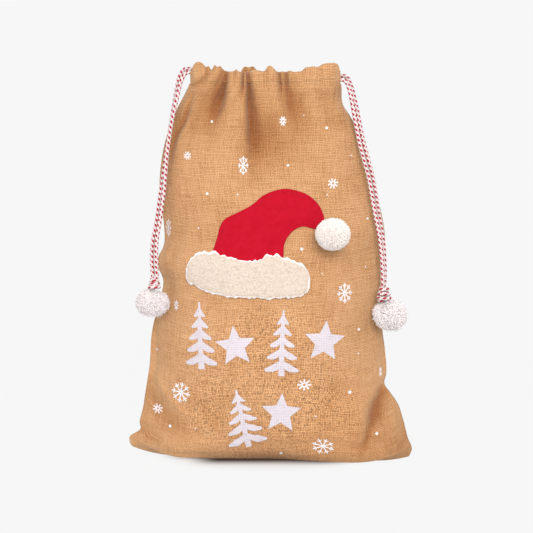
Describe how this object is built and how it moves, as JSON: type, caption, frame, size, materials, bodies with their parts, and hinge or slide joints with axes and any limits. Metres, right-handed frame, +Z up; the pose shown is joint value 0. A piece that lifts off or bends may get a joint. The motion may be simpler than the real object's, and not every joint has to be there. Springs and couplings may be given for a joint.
{
  "type": "drawstring gift sack",
  "caption": "Upright drawstring gift sack of hessian with a tunnel casing, two drawcords ending in knots and pompoms, and a sewn-on felt hat with a fleece brim.",
  "frame": {"origin": "on the floor under the bottom seam, midway between the sack's lower corners and on the plane where the front and back panels meet", "axes": "+Z up towards the mouth, -Y out of the front with the hat on it, +X to the right seen from the front"},
  "size_m": [0.496, 0.2203, 0.702],
  "materials": {
    "jute": "open plain weave of coarse hairy jute yarn, matt, with white printed shapes",
    "thread": "spun sewing thread, matt",
    "cord": "round braid of white cotton with red flecks",
    "wool": "fluffy acrylic yarn, cut ends",
    "felt": "pressed felt, matt",
    "sherpa": "looped fleece pile, matt"
  },
  "bodies": {
    "sack": {"front_panel": "jute", "back_panel": "jute", "left_side_seam": "jute", "right_side_seam": "jute", "bottom_seam": "jute", "left_bartack": "thread", "right_bartack": "thread", "hat_crown": "felt", "hat_brim": "sherpa", "hat_crown_stitching": "thread", "hat_brim_stitching": "thread", "hat_pompom_thread": "thread"},
    "front_lip": {"front_casing": "jute", "front_casing_stitching": "thread"},
    "back_lip": {"back_casing": "jute", "back_casing_stitching": "thread"},
    "left_cord": {"left_cord_run": "cord"},
    "right_cord": {"right_cord_run": "cord"},
    "left_tail": {"left_cord_front_strand": "cord", "left_cord_back_strand": "cord", "left_knot": "cord"},
    "right_tail": {"right_cord_front_strand": "cord", "right_cord_back_strand": "cord", "right_knot": "cord"},
    "left_ball": {"left_pompom": "wool", "left_pompom_tie": "thread"},
    "right_ball": {"right_pompom": "wool", "right_pompom_tie": "thread"},
    "hat_ball": {"hat_pompom": "wool"}
  },
  "joints": [
    {"name": "left_cord_draw", "type": "slide", "parent": "sack", "child": "left_cord", "axis": [-1, 0, 0], "range_m": [0, 0.018], "deforming": ["left_cord_run"]},
    {"name": "right_cord_draw", "type": "slide", "parent": "sack", "child": "right_cord", "axis": [1, 0, 0], "range_m": [0, 0.018], "deforming": ["right_cord_run"]},
    {"name": "front_lip_lean", "type": "hinge", "parent": "sack", "child": "front_lip", "pos_m": [0, -0.031, 0.6612], "axis": [-1, 0, 0], "range_deg": [0, 6]},
    {"name": "back_lip_lean", "type": "hinge", "parent": "sack", "child": "back_lip", "pos_m": [0, 0.031, 0.6612], "axis": [1, 0, 0], "range_deg": [0, 6]},
    {"name": "left_tail_swing", "type": "hinge", "parent": "left_cord", "child": "left_tail", "pos_m": [-0.1455, 0, 0.688], "axis": [0, 1, 0], "range_deg": [0, 75], "deforming": ["left_cord_front_strand", "left_cord_back_strand"]},
    {"name": "right_tail_swing", "type": "hinge", "parent": "right_cord", "child": "right_tail", "pos_m": [0.1295, 0, 0.6755], "axis": [0, -1, 0], "range_deg": [0, 75], "deforming": ["right_cord_front_strand", "right_cord_back_strand"]},
    {"name": "left_pompom_swing", "type": "hinge", "parent": "left_tail", "child": "left_ball", "pos_m": [-0.2045, -0.051, 0.316], "axis": [0, 1, 0], "range_deg": [0, 45]},
    {"name": "right_pompom_swing", "type": "hinge", "parent": "right_tail", "child": "right_ball", "pos_m": [0.202, -0.047, 0.301], "axis": [0, -1, 0], "range_deg": [0, 45]},
    {"name": "hat_pompom_wag", "type": "hinge", "parent": "sack", "child": "hat_ball", "pos_m": [0.112, -0.0665, 0.402], "axis": [0, 0, 1], "range_deg": [-12, 12]}
  ],
  "couplings": [
    {"joint": "right_cord_draw", "follows": "left_cord_draw", "ratio": 1},
    {"joint": "front_lip_lean", "follows": "left_cord_draw", "rad_per_m": 5.8},
    {"joint": "back_lip_lean", "follows": "left_cord_draw", "rad_per_m": 5.8}
  ]
}
